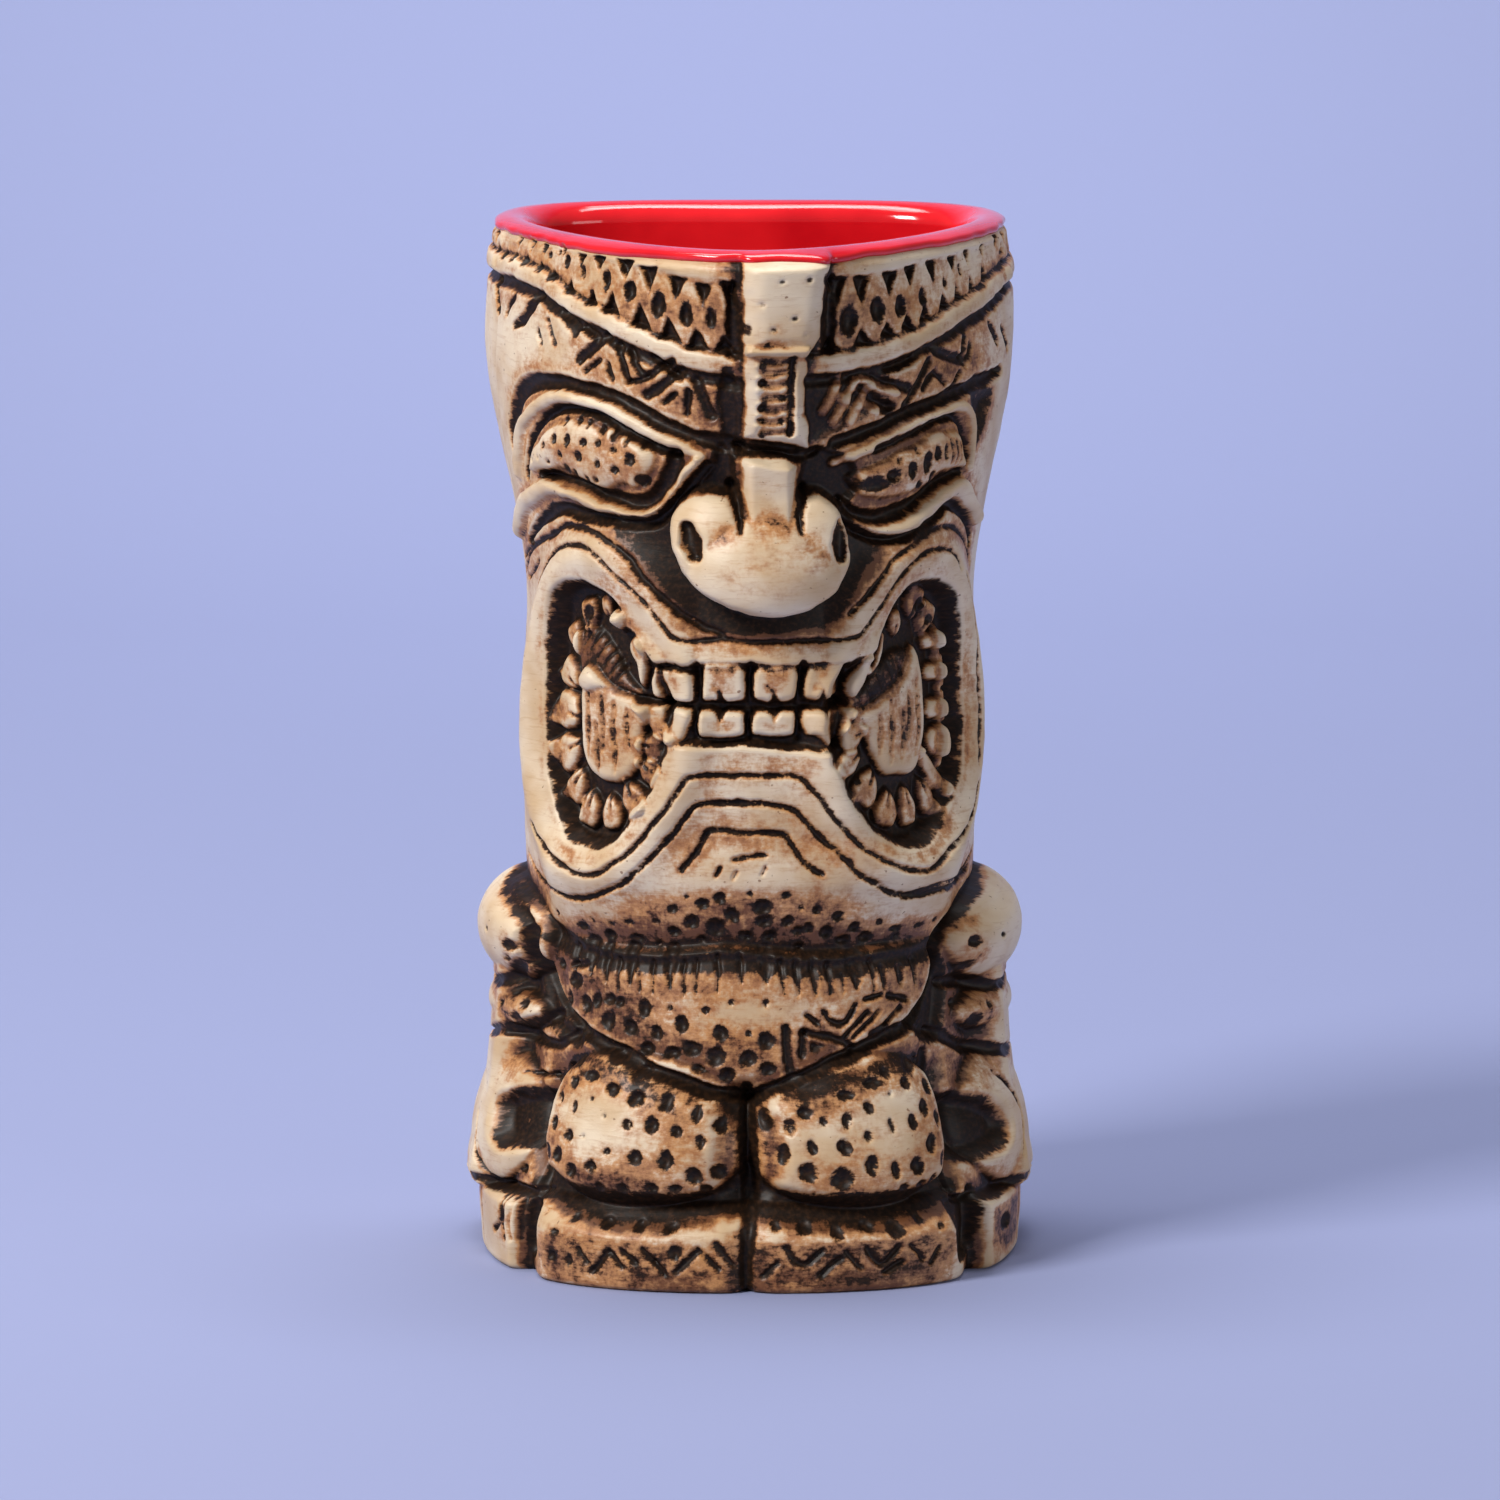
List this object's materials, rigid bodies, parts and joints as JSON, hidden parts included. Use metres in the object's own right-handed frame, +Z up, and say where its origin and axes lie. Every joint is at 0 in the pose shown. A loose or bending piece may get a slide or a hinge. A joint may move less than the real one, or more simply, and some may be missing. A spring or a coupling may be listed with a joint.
{
  "type": "tiki mug",
  "caption": "Tall slip-cast ceramic tiki mug carved as a squatting figure, with a rounded-triangle mouth, stained relief and a glossy red glazed inside.",
  "frame": {"origin": "middle of the footprint, on the surface that the mug stands on", "axes": "+Z up through the mouth, -Y out of the face, +X to the viewer's right when facing the mug"},
  "size_m": [0.0964, 0.0924, 0.178],
  "materials": {
    "stained_clay": "satin cream earthenware, with a brown-black stain left in the hollows and wiped off the raised parts",
    "red_glaze": "glossy opaque red glaze"
  },
  "bodies": {
    "root": {"cast_body": "stained_clay", "glaze_lining": "red_glaze"}
  },
  "joints": []
}
